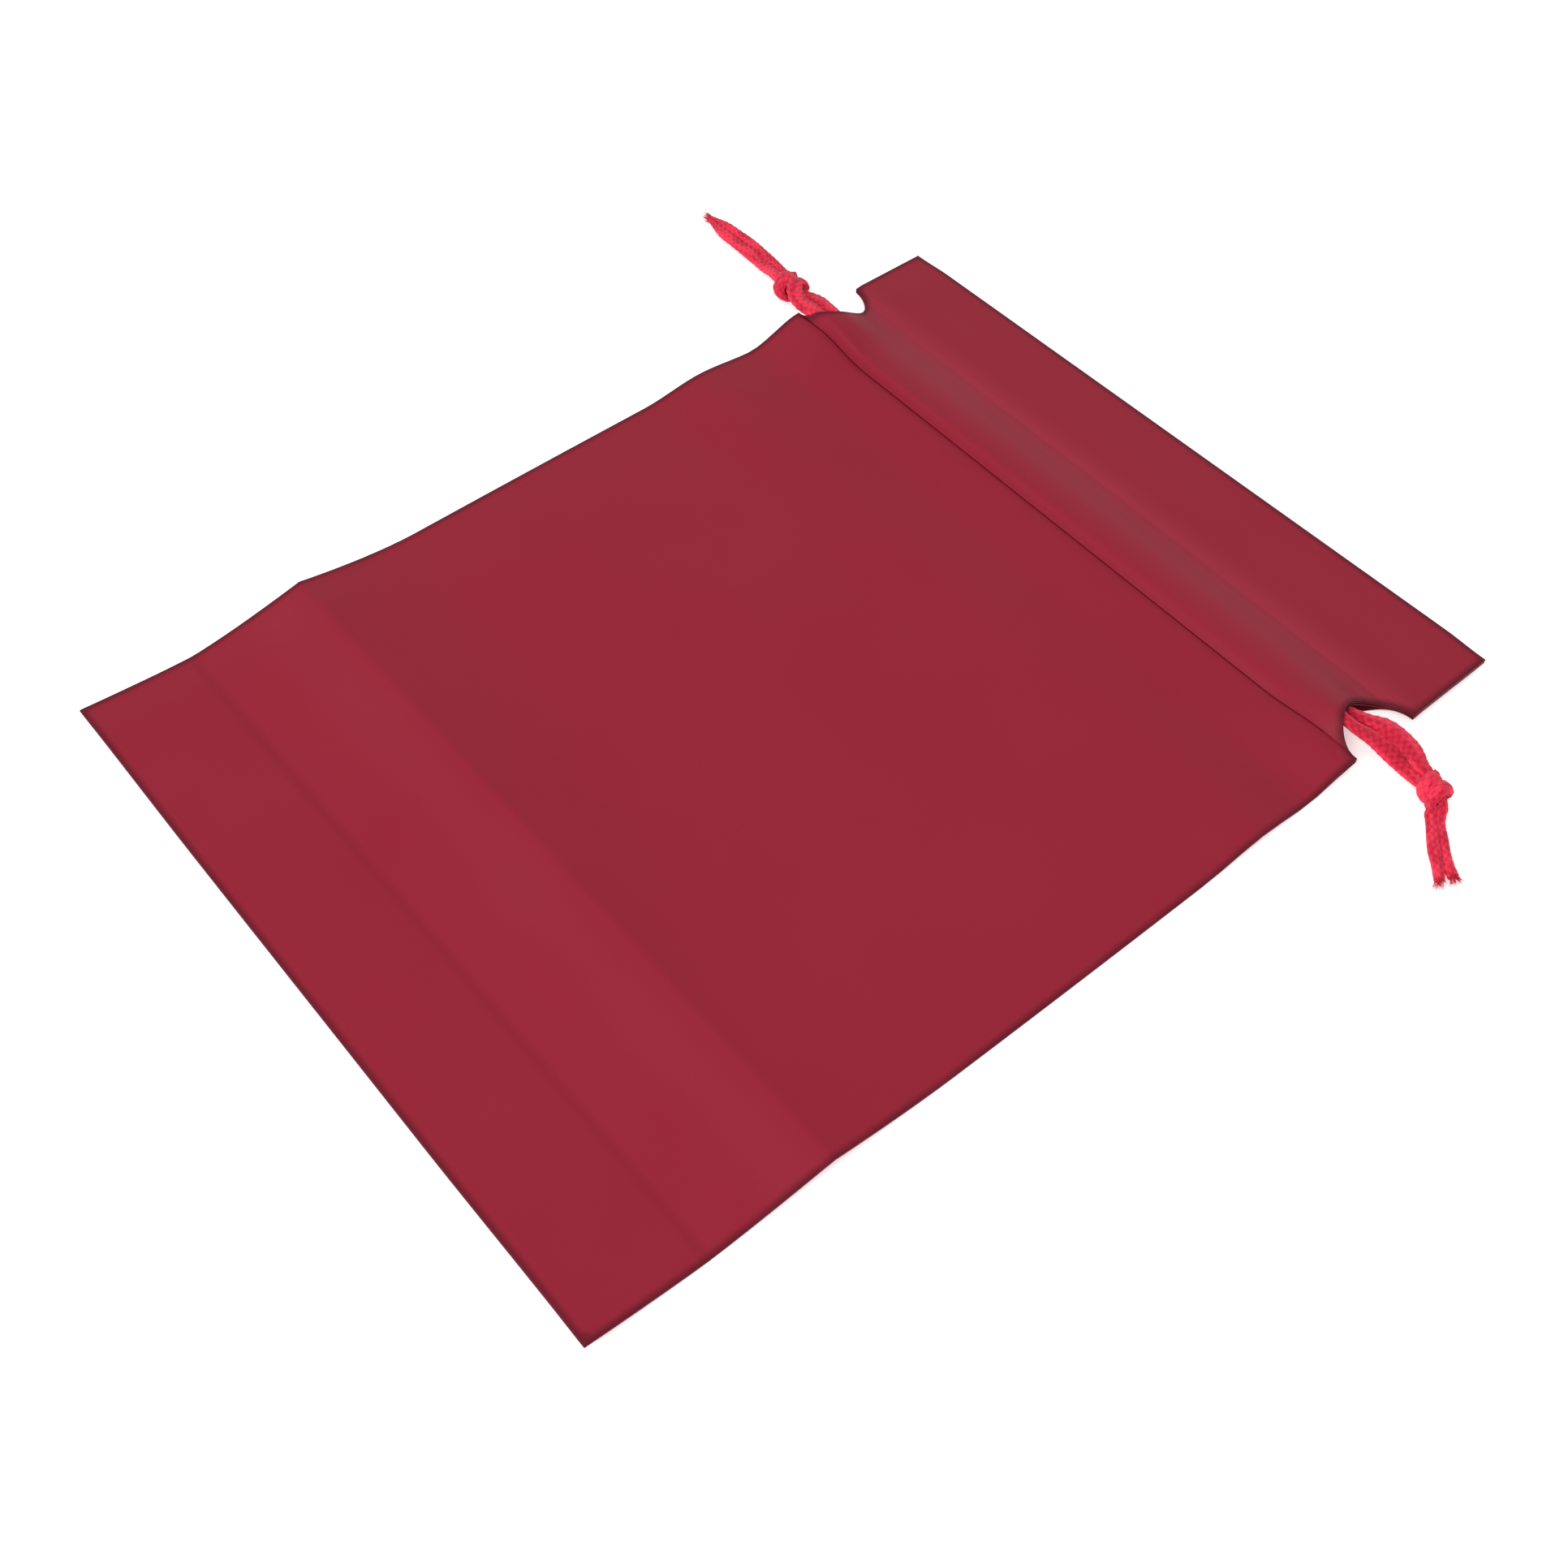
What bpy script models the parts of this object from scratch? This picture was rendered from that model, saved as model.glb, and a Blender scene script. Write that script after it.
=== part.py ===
"""Flat drawstring pouch of thin matte film, with two cords that are tied together outside each side.

One sheet of film is folded at the bottom and welded up both sides. At the mouth each wall is
turned inwards as a hem, and two weld lines across the hem leave a channel between them. A cord
runs through the channel of each wall. Round notches in both sides let the cords out, and
outside each notch one cord is wound round the other as a small knot with two short tails.

Lengths are in metres. X runs across the pouch, Y from the folded bottom to the mouth, and Z up.
The origin lies on the supporting surface under the middle of the pouch.
"""
import math

import bmesh
import bpy
from mathutils import Vector

# The pouch's outline
WIDTH = 0.150             # between the side welds' outer edges, at the corners
LENGTH = 0.197            # from the bottom fold to the mouth
SIDE_BOW = 0.0008         # how far each side swells outwards at mid length
FRILL = 0.020             # from the upper weld line to the mouth
CHANNEL = 0.014           # between the two weld lines that bound the cord channel
CHANNEL_SKEW = 0.0024     # the channel lies this much nearer the mouth at the left side
SKEW_RUN = 0.025          # length of film below the channel over which that slant sets in
NOTCH_DEPTH = 0.008       # how far each notch reaches in from the side
NOTCH_OVER = 0.0014       # how far each notch reaches past the upper weld line

# The film and the room between its layers
FILM = 0.0002             # thickness of one layer
POCKET_GAP = 0.0004       # room between the two walls when the pouch lies flat
WELD_GAP = 0.0001         # room left between layers right beside a weld
SIDE_WELD = 0.001         # width of the weld strip along each side
SIDE_EASE = 0.008         # distance over which the walls part next to the side weld
NOTCH_EASE = 0.003        # distance over which the walls part along a notch's edge
HEM_EASE = 0.012          # distance below the hem over which the walls part to clear it

# The cords in their channels
CORD_DIAMETER = 0.0022
CORD_CLEARANCE = 0.00035  # room round a cord inside its channel
CORD_TO_WELD = 0.0031     # from the lower weld line to the front cord, at mid width
CORD_SPREAD = 0.003       # the rear cord lies this much nearer the mouth, side by side with it
SLACK_HEIGHT = 0.00025    # height of a channel beside its cord, where the other cord passes
CHANNEL_SQUEEZE = 0.72    # a cord's thickness in the channel, as a share of its diameter
KNOT_SQUEEZE = 0.68       # the same inside a knot
STEEP_FLANK = 2.4         # how roundly the film comes down from the front cord to its weld
GENTLE_FLANK = 1.4        # the same from the rear cord to the upper weld

# Waves of the film, as distances from the bottom fold and heights over the surface
VALLEY = 0.0215           # crease between the lifted bottom edge and the ridge
RIDGE = 0.045
RIDGE_END = 0.069
RIDGE_LEFT = 0.0035
RIDGE_RIGHT = 0.0022
RIDGE_RISE_POWER = 1.4
RIDGE_FALL_POWER = 1.6
BOTTOM_LIFT_CORNER = 0.0019
BOTTOM_LIFT_MIDDLE = 0.0005
BOTTOM_LIFT_POWER = 1.3
CREST_TO_HEM = 0.025      # from the low crest under the channel to the lower weld line
CREST_SPAN = 0.014        # from that crest to where the film lies flat again, each way
CREST_SIDE = 0.0013
CREST_MIDDLE = 0.0004
HEM_LIFT = 0.0007         # the lower weld line lies this high beside the cords under it
HEM_LIFT_FALL = 0.003     # length past that weld over which the film comes down again
HEM_RISE = 0.013          # length of film below that weld that rises to it
NOTCH_LIFT_LEFT = 0.0028  # the cords lift the film by this much at the notches
NOTCH_LIFT_RIGHT = 0.0019
NOTCH_LIFT_START = 0.020  # distance in from the side where that lift begins
NOTCH_LIFT_WIDTH = 0.013  # width over which it grows
NOTCH_LIFT_TOP = 0.003    # length past the lower weld line over which it stays
NOTCH_LIFT_FALL = 0.010   # length over which it then fades out
FRILL_LIFT = 0.0013
FRILL_LIFT_START = 0.003  # distance below the upper weld line where the frill begins to lift
FRILL_LIFT_RUN = 0.006
LIFT_START = 0.45         # share of the half width at which the corners begin to lift

# How finely the section is drawn
EDGE_BAND = 0.020         # strip along each side that follows the notch
EDGE_COLUMNS = (0.2, 0.4, 0.6, 0.8)     # columns in that strip, as shares of its width
MIDDLE_COLUMN_COUNT = 6
LIFT_ROW_COUNT = 4        # between the fold and the valley
RIDGE_ROW_COUNT = 4       # on each slope of the ridge
FLAT_ROW_COUNT = 2        # between the ridge and the low crest
CREST_ROW_COUNT = 3       # up the low crest
HEM_ROW_COUNT = 5         # from the low crest to the hem
CORD_ROW_COUNT = 11       # across the part of the channel that the cords take up
SLOPE_ROW_COUNT = 5       # across the rest of it
FRILL_ROW_COUNT = 4
FOLD_TIP = 0.00015        # half thickness of the fold's very edge
FOLD_ROW = 0.0001         # row next to the fold's edge, where its rounding is steepest
HEM_END = 0.0004          # length over which the hem's cut end is sloped

# Worked out from the sizes above
HALF = WIDTH / 2
UPPER_WELD = LENGTH - FRILL
LOWER_WELD = UPPER_WELD - CHANNEL
FRONT_CORD = LOWER_WELD + CORD_TO_WELD
REAR_CORD = FRONT_CORD + CORD_SPREAD
CORD_PART = REAR_CORD - LOWER_WELD + CORD_SPREAD
NOTCH_END = UPPER_WELD + NOTCH_OVER
CREST = LOWER_WELD - CREST_TO_HEM
FOLD_RADIUS = FILM + POCKET_GAP / 2
TUNNEL = CORD_DIAMETER * CHANNEL_SQUEEZE + 2 * CORD_CLEARANCE
HEM_LAYER = FILM + WELD_GAP

# The surfaces of the stack, from the lowest to the highest
BASE, REAR_OUT, REAR_IN, POCKET_FLOOR, POCKET_ROOF, FRONT_IN, FRONT_OUT, TOP = range(8)
REAR_TUNNEL = (REAR_OUT, REAR_IN)
POCKET = (POCKET_FLOOR, POCKET_ROOF)
FRONT_TUNNEL = (FRONT_IN, FRONT_OUT)
GAPS = (REAR_TUNNEL, POCKET, FRONT_TUNNEL)

# Routes of the cords in millimetres, from the left tail's end to the right tail's end, with
# the share of the full diameter that each point has
FRONT_ROUTE = (
    (-115.2, 73.6, 1.1, 0.7), (-110.5, 74.4, 1.15, 0.95), (-105.0, 74.6, 1.15, 1.0),
    (-99.5, 74.5, 1.15, 1.0), (-94.5, 74.2, 1.2, 0.95), (-90.5, 73.7, 1.3, 0.9),
    (-87.6, 73.1, 1.7, 0.8), (-85.4, 72.3, 2.9, 0.68), (-84.9, 70.0, 5.0, 0.68),
    (-84.4, 67.7, 2.9, 0.68), (-83.5, 70.0, 0.8, 0.68), (-82.5, 72.5, 3.0, 0.68),
    (-82.0, 70.4, 5.1, 0.7), (-80.4, 69.0, 5.0, 0.8), (-77.6, 68.7, 4.5, 0.92),
    (-74.0, 68.3, 4.7, 0.9), (-70.5, 67.65, 5.08, 0.74), (-67.5, 67.6, 5.04, 0.72),
    (-64.5, 67.6, 4.65, 0.72), (-61.0, 67.6, 3.7, 0.72), (-58.0, 67.6, 2.9, 0.72),
    (-55.0, 67.6, 2.55, 0.72), (-52.0, 67.6, 2.52, 0.72), (-36.0, 67.6, 2.46, 0.72),
    (36.0, 67.6, 2.42, 0.72), (52.0, 67.6, 2.41, 0.72), (55.0, 67.6, 2.41, 0.72),
    (58.0, 67.6, 2.69, 0.72), (61.0, 67.6, 3.25, 0.72), (64.5, 67.55, 3.93, 0.72),
    (67.5, 67.5, 4.24, 0.72), (70.5, 67.4, 3.95, 0.76), (75.0, 68.8, 2.6, 0.95),
    (80.0, 69.1, 1.9, 0.9), (85.0, 68.6, 2.6, 0.7), (88.8, 68.3, 2.9, 0.68),
    (91.6, 67.0, 2.6, 0.7), (93.4, 65.1, 1.5, 0.8), (96.03, 62.13, 1.0, 0.82),
    (98.65, 59.65, 1.0, 0.82), (100.9, 57.9, 1.0, 0.75),
)
REAR_ROUTE = (
    (-112.8, 71.9, 1.1, 0.7), (-109.5, 71.9, 1.15, 0.95), (-104.5, 72.0, 1.15, 1.0),
    (-99.0, 72.1, 1.15, 1.0), (-94.0, 71.7, 1.3, 0.95), (-90.8, 71.1, 2.1, 0.85),
    (-87.8, 70.5, 2.8, 0.7), (-84.7, 70.0, 2.9, 0.68), (-81.6, 70.1, 2.9, 0.68),
    (-78.2, 71.1, 3.1, 0.92), (-74.3, 71.2, 3.7, 0.95), (-70.8, 71.0, 3.85, 0.8),
    (-67.5, 70.65, 3.78, 0.72), (-64.5, 70.6, 3.32, 0.72), (-61.0, 70.6, 2.4, 0.72),
    (-58.0, 70.6, 1.67, 0.72), (-55.0, 70.6, 1.35, 0.72), (-52.0, 70.6, 1.32, 0.72),
    (-36.0, 70.6, 1.32, 0.72), (36.0, 70.6, 1.33, 0.72), (52.0, 70.6, 1.32, 0.72),
    (55.0, 70.6, 1.33, 0.72), (58.0, 70.6, 1.51, 0.72), (61.0, 70.6, 1.88, 0.72),
    (64.5, 70.6, 2.31, 0.72), (67.5, 70.6, 2.52, 0.72), (70.5, 70.95, 2.8, 0.78),
    (75.0, 71.8, 3.1, 1.0), (80.0, 71.9, 2.5, 0.95), (84.4, 71.2, 2.3, 0.8),
    (87.2, 70.7, 2.9, 0.68), (87.2, 68.6, 5.0, 0.68), (87.2, 66.3, 2.9, 0.68),
    (88.3, 68.2, 0.8, 0.68), (89.3, 70.1, 2.9, 0.68), (89.3, 68.0, 5.0, 0.68),
    (89.3, 65.7, 2.9, 0.68), (90.4, 64.7, 1.5, 0.75), (92.5, 62.9, 1.0, 0.82),
    (95.05, 60.15, 1.0, 0.82), (97.75, 57.45, 1.0, 0.82), (100.0, 55.35, 1.0, 0.75),
)
CORD_STEP = 0.0048        # longest distance between two points of a drawn cord
CORD_STEP_TIGHT = 0.0016  # the same where the cord is squeezed in a knot
ROUNDING = 1.1            # how roundly a cord turns at the points of its route
CORD_FACET_COUNT = 2      # bevel steps in a quarter of the cord's round section
MILLIMETRE = 0.001

# Surface finish, with colours as linear red, green and blue
FILM_COLOUR = (0.30, 0.024, 0.044, 1.0)
FILM_ROUGHNESS = 0.5
CORD_COLOUR = (0.80, 0.030, 0.075, 1.0)
CORD_ROUGHNESS = 0.9
SHARP_ANGLE = math.radians(35)      # edges sharper than this stay crisp


def clear_scene():
    for item in list(bpy.data.objects):
        bpy.data.objects.remove(item, do_unlink=True)


def make_material(name, colour, roughness):
    material = bpy.data.materials.new(name)
    material.use_nodes = True
    shader = material.node_tree.nodes["Principled BSDF"]
    shader.inputs["Base Color"].default_value = colour
    shader.inputs["Roughness"].default_value = roughness
    shader.inputs["Metallic"].default_value = 0.0
    return material


def ease(share):
    """A smooth step from 0 to 1."""
    share = min(max(share, 0.0), 1.0)
    return share * share * (3 - 2 * share)


def bump(value, centre, span):
    """A smooth hump, 1 at its centre and 0 at span and beyond."""
    return ease(1 - abs(value - centre) / span)


def mix(first, second, share):
    return first + (second - first) * share


def relief(x, along):
    """Height of the film's underside: its waves, its lifted corners and the raised frill."""
    left = (1 - x / HALF) / 2
    side = ease((abs(x) / HALF - LIFT_START) / (1 - LIFT_START))
    height = 0.0
    if along < VALLEY:
        lift = mix(BOTTOM_LIFT_MIDDLE, BOTTOM_LIFT_CORNER, side)
        height += lift * (1 - along / VALLEY) ** BOTTOM_LIFT_POWER
    ridge = mix(RIDGE_RIGHT, RIDGE_LEFT, left)
    if VALLEY <= along < RIDGE:
        height += ridge * ((along - VALLEY) / (RIDGE - VALLEY)) ** RIDGE_RISE_POWER
    if RIDGE <= along < RIDGE_END:
        height += ridge * (1 - (along - RIDGE) / (RIDGE_END - RIDGE)) ** RIDGE_FALL_POWER
    height += mix(CREST_MIDDLE, CREST_SIDE, side) * bump(along, CREST, CREST_SPAN)
    past = along - LOWER_WELD
    hem = HEM_LIFT * ease(1 - past / HEM_LIFT_FALL)
    notch = mix(NOTCH_LIFT_RIGHT, NOTCH_LIFT_LEFT, left)
    notch *= ease(1 - (past - NOTCH_LIFT_TOP) / NOTCH_LIFT_FALL)
    near_side = ease((abs(x) - HALF + NOTCH_LIFT_START) / NOTCH_LIFT_WIDTH)
    height += mix(hem, notch, near_side) * ease(1 + past / HEM_RISE)
    height += FRILL_LIFT * ease((along - UPPER_WELD + FRILL_LIFT_START) / FRILL_LIFT_RUN)
    return height


def half_width(along):
    """Distance from the middle to the side, with the side's swell and the notch."""
    half = HALF + SIDE_BOW * math.sin(math.pi * along / LENGTH)
    if LOWER_WELD < along < NOTCH_END:
        share = 2 * (along - LOWER_WELD) / (NOTCH_END - LOWER_WELD) - 1
        half -= NOTCH_DEPTH * math.sqrt(1 - share * share)
    return half


def skew(x, along):
    """How far the channel's slant moves a point towards the mouth."""
    below = ease(1 - (LOWER_WELD - along) / SKEW_RUN)
    above = ease((LENGTH - along) / (LENGTH - NOTCH_END))
    return -CHANNEL_SKEW * x / WIDTH * below * above


def tunnel_height(x, along, over_front, over_rear):
    """Height of a channel that is this high over the front cord and over the rear cord."""
    slant = skew(x, along)
    place = along + slant
    if place < FRONT_CORD:
        share = (FRONT_CORD - place) / (FRONT_CORD - LOWER_WELD - slant)
        return mix(over_front, WELD_GAP, min(share, 1.0) ** STEEP_FLANK)
    if place > REAR_CORD:
        share = (place - REAR_CORD) / (UPPER_WELD + slant - REAR_CORD)
        return mix(over_rear, WELD_GAP, min(share, 1.0) ** GENTLE_FLANK)
    return mix(over_front, over_rear, ease((place - FRONT_CORD) / CORD_SPREAD))


def stack(x, from_side, along):
    """Heights of the eight surfaces over the underside, from BASE to TOP."""
    in_notch = ease((along - LOWER_WELD) / NOTCH_EASE) * ease((NOTCH_END - along) / NOTCH_EASE)
    apart = max(ease((from_side - SIDE_WELD) / SIDE_EASE), in_notch)
    gap = mix(WELD_GAP, POCKET_GAP, apart)
    if along < LOWER_WELD - HEM_END / 2:
        gap += 2 * HEM_LAYER * ease(1 - (LOWER_WELD - along) / HEM_EASE)
        floor = FILM
        roof = floor + gap
        top = roof + FILM
        if along < FOLD_RADIUS:
            share = 1 - along / FOLD_RADIUS
            round_half = max(FOLD_TIP, top / 2 * math.sqrt(1 - share * share))
            return (top / 2 - round_half,) * 4 + (top / 2 + round_half,) * 4
        return (0.0, 0.0, 0.0, floor, roof, roof, roof, top)
    rear_out = FILM
    rear_in = rear_out + tunnel_height(x, along, SLACK_HEIGHT, TUNNEL)
    floor = rear_in + FILM
    roof = floor + gap
    front_in = roof + FILM
    front_out = front_in + tunnel_height(x, along, TUNNEL, SLACK_HEIGHT)
    return (0.0, rear_out, rear_in, floor, roof, front_in, front_out, front_out + FILM)


def spaced(start, end, count):
    """Evenly spaced values from start on, without the end."""
    return [mix(start, end, step / count) for step in range(count)]


def columns():
    """Each column as (0, X), or as (-1 or 1 for its side, distance from that side's edge)."""
    inner = HALF - EDGE_BAND
    near = [0.0, SIDE_WELD] + [mix(SIDE_WELD, EDGE_BAND, share) for share in EDGE_COLUMNS]
    middle = spaced(-inner, inner, MIDDLE_COLUMN_COUNT) + [inner]
    left = [(-1, distance) for distance in near]
    right = [(1, distance) for distance in reversed(near)]
    return left + [(0, x) for x in middle] + right


def rows():
    """Distances from the bottom fold at which the section is drawn."""
    lines = [0.0, FOLD_ROW]
    lines += spaced(FOLD_RADIUS, VALLEY, LIFT_ROW_COUNT)
    lines += spaced(VALLEY, RIDGE, RIDGE_ROW_COUNT)
    lines += spaced(RIDGE, RIDGE_END, RIDGE_ROW_COUNT)
    lines += spaced(RIDGE_END, CREST - CREST_SPAN, FLAT_ROW_COUNT)
    lines += spaced(CREST - CREST_SPAN, CREST, CREST_ROW_COUNT)
    lines += spaced(CREST, LOWER_WELD - HEM_END, HEM_ROW_COUNT)
    lines += [LOWER_WELD - HEM_END]
    lines += spaced(LOWER_WELD, LOWER_WELD + CORD_PART, CORD_ROW_COUNT)
    lines += spaced(LOWER_WELD + CORD_PART, UPPER_WELD, SLOPE_ROW_COUNT)
    lines += [UPPER_WELD]
    lines += spaced(NOTCH_END, LENGTH, FRILL_ROW_COUNT)
    lines += [LENGTH]
    return lines


def place(column, along):
    """World X of a column at a row, and its distance from the side."""
    sign, value = column
    if sign == 0:
        return value, half_width(along) - abs(value)
    inner = HALF - EDGE_BAND
    band = half_width(along) - inner
    return sign * (inner + band * (1 - value / EDGE_BAND)), value


def build_pouch(material):
    """The folded and welded sheet as one solid, drawn as stacked surfaces on a grid."""
    across = columns()
    lines = rows()
    mesh = bmesh.new()
    corners = {}

    def corner(i, j, level):
        key = (i, j, level)
        if key not in corners:
            x, from_side = place(across[i], lines[j])
            height = stack(x, from_side, lines[j])[level] + relief(x, lines[j])
            y = lines[j] + skew(x, lines[j]) - LENGTH / 2
            corners[key] = mesh.verts.new((x, y, height))
        return corners[key]

    def is_cell(i, j):
        return 0 <= i < len(across) - 1 and 0 <= j < len(lines) - 1

    def is_open(gap, i, j):
        if not is_cell(i, j):
            return False
        middle = (lines[j] + lines[j + 1]) / 2
        if gap != POCKET:
            return LOWER_WELD < middle < UPPER_WELD
        at_side = i == 0 or i == len(across) - 2
        return middle > FOLD_RADIUS and (not at_side or LOWER_WELD < middle < NOTCH_END)

    def levels_at(i, j):
        """The surfaces that meet the vertical line at a grid point."""
        found = {BASE, TOP}
        for gap in GAPS:
            if any(is_open(gap, i - a, j - b) for a in (0, 1) for b in (0, 1)):
                found.update(gap)
        return sorted(found)

    def flat(i, j, level):
        mesh.faces.new([corner(*point, level) for point in
                        ((i, j), (i + 1, j), (i + 1, j + 1), (i, j + 1))])

    def upright(start, end, low, high):
        """A face over the grid line from start to end, between two surfaces."""
        first = [level for level in levels_at(*start) if low <= level <= high]
        second = [level for level in levels_at(*end) if low <= level <= high]
        loop = [corner(*start, level) for level in first]
        loop += [corner(*end, level) for level in reversed(second)]
        mesh.faces.new(loop)

    for i in range(len(across) - 1):
        for j in range(len(lines) - 1):
            open_gaps = [gap for gap in GAPS if is_open(gap, i, j)]
            for level in [BASE, TOP] + [level for gap in open_gaps for level in gap]:
                flat(i, j, level)
            edges = (((i, j), (i + 1, j), (i, j - 1)), ((i, j + 1), (i + 1, j + 1), (i, j + 1)),
                     ((i, j), (i, j + 1), (i - 1, j)), ((i + 1, j), (i + 1, j + 1), (i + 1, j)))
            for start, end, neighbour in edges:
                if is_cell(*neighbour):
                    for gap in open_gaps:
                        if not is_open(gap, *neighbour):
                            upright(start, end, *gap)
                    continue
                bounds = [BASE] + [level for gap in open_gaps for level in gap] + [TOP]
                for low, high in zip(bounds[0::2], bounds[1::2]):
                    upright(start, end, low, high)

    bmesh.ops.recalc_face_normals(mesh, faces=mesh.faces)
    return finish_mesh("pouch", mesh, material)


def finish_mesh(name, mesh, material):
    data = bpy.data.meshes.new(name)
    mesh.to_mesh(data)
    mesh.free()
    data.materials.append(material)
    data.shade_smooth()
    data.set_sharp_from_angle(angle=SHARP_ANGLE)
    item = bpy.data.objects.new(name, data)
    bpy.context.collection.objects.link(item)
    return item


def heading(points, index):
    """The route's direction at one of its points, at a speed of one unit of length."""
    before = Vector(points[max(index - 1, 0)])
    here = Vector(points[index])
    after = Vector(points[min(index + 1, len(points) - 1)])
    back, ahead = (here - before).xyz.length, (after - here).xyz.length
    if not back or not ahead:
        return (after - before) / (back + ahead)
    slope = (here - before) * (ahead / back) + (after - here) * (back / ahead)
    return slope / slope.xyz.length


def smooth_point(points, index, share):
    """A point on the smooth curve through the route, with its thickness in the fourth place."""
    start, end = Vector(points[index]), Vector(points[index + 1])
    span = (end - start).xyz.length * ROUNDING
    leave, arrive = heading(points, index) * span, heading(points, index + 1) * span
    keep = 1 - share
    return (start * (1 + 2 * share) * keep ** 2 + leave * share * keep ** 2
            + end * (3 - 2 * share) * share ** 2 - arrive * keep * share ** 2)


def trace(route):
    """Points along a route in metres: close together in the knots and wider elsewhere."""
    traced = []
    for index in range(len(route) - 1):
        start, end = route[index], route[index + 1]
        span = (Vector(end[:3]) - Vector(start[:3])).length * MILLIMETRE
        is_tight = max(start[3], end[3]) <= KNOT_SQUEEZE
        step = CORD_STEP_TIGHT if is_tight else CORD_STEP
        count = max(round(span / step), 1)
        for part in range(count):
            traced.append(smooth_point(route, index, part / count))
    traced.append(route[-1])
    return traced


def build_cord(name, route, material):
    """One whole cord as a round tube with closed ends."""
    points = trace(route)
    data = bpy.data.curves.new(name, "CURVE")
    data.dimensions = "3D"
    data.bevel_depth = CORD_DIAMETER / 2
    data.bevel_resolution = CORD_FACET_COUNT
    data.render_resolution_u = 0
    data.use_fill_caps = True
    spline = data.splines.new("POLY")
    spline.points.add(len(points) - 1)
    for target, (x, y, z, thickness) in zip(spline.points, points):
        target.co = (x * MILLIMETRE, y * MILLIMETRE, z * MILLIMETRE, 1.0)
        target.radius = thickness
    data.materials.append(material)
    item = bpy.data.objects.new(name, data)
    bpy.context.collection.objects.link(item)
    return item


def main():
    clear_scene()
    film = make_material("matte_film", FILM_COLOUR, FILM_ROUGHNESS)
    cord = make_material("soft_cord", CORD_COLOUR, CORD_ROUGHNESS)
    build_pouch(film)
    build_cord("front_drawstring", FRONT_ROUTE, cord)
    build_cord("rear_drawstring", REAR_ROUTE, cord)


main()
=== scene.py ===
"""A flat drawstring pouch of matte wine-red film, lying on a pale floor.

The film is drawn as what it is: one thin sheet that is folded at the bottom, turned in at the
mouth as a hem, welded up both sides and welded twice across the hem. Two soft braided cords run
through the channel between those welds and are tied together outside each side notch.

Lengths are in metres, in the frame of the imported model: X runs across the pouch, Y from the
folded bottom to the mouth, and Z up from the surface that the pouch lies on.
"""
import math

import bpy
import numpy as np
from mathutils import Matrix, Vector, noise


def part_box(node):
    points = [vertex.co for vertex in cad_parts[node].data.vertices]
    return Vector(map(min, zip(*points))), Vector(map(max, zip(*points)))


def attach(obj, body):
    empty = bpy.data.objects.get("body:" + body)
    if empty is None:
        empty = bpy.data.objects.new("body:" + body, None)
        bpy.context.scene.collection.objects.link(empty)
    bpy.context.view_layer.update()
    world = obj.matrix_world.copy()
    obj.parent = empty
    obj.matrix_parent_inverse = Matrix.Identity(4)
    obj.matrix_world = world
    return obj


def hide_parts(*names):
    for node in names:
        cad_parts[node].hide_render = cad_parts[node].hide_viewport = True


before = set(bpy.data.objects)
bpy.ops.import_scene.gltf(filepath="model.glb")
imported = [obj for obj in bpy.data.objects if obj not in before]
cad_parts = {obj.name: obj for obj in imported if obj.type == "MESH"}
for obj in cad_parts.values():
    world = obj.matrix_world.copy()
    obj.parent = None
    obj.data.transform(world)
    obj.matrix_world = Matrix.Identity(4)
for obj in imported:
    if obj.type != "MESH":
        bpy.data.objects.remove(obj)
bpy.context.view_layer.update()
pouch_low, pouch_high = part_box("pouch")

# Outline of the pouch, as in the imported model
WIDTH = 0.150
LENGTH = pouch_high[1] - pouch_low[1]
SIDE_BOW = 0.0008         # how far the sides swell outwards halfway up
FRILL = 0.020             # film past the upper weld
CHANNEL = 0.014           # distance between the two welds
CHANNEL_SKEW = 0.0024     # the channel's left end lies this much nearer the mouth
SKEW_RUN = 0.025          # length below the lower weld over which this slant fades
NOTCH_DEPTH = 0.008
NOTCH_OVER = 0.0014       # how far the notch reaches past the upper weld

# The film and the room between its layers
FILM = 0.0002
POCKET_GAP = 0.0004
WELD_GAP = 0.0001
SEAM_GAP = 0.00003        # room between the layers at the hot-cut side edges
SEAM_WIDTH = 0.001
SIDE_EASE = 0.008         # distance from a side seam over which the layers part
NOTCH_EASE = 0.003        # the same from both ends of a notch
HEM_EASE = 0.012          # distance below the hem over which the front wall comes down
HEM_OVERHANG = 0.0004     # the hem's cut edge lies this far below the lower weld

# The cords in their channels
CORD_DIAMETER = 0.0022
CORD_CLEARANCE = 0.00035
CORD_TO_WELD = 0.0031
CORD_SPREAD = 0.003       # distance between the two cords
SLACK_HEIGHT = 0.00025    # height of a channel where the other wall's cord lies
CHANNEL_SQUEEZE = 0.72    # share of its diameter that a cord keeps in its channel
STEEP_FLANK = 2.4         # shape of the channel's side at the lower weld,
FLANK_FOOT = 1.35         # how softly it leaves that weld,
GENTLE_FLANK = 1.4        # and its shape at the upper weld

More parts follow.
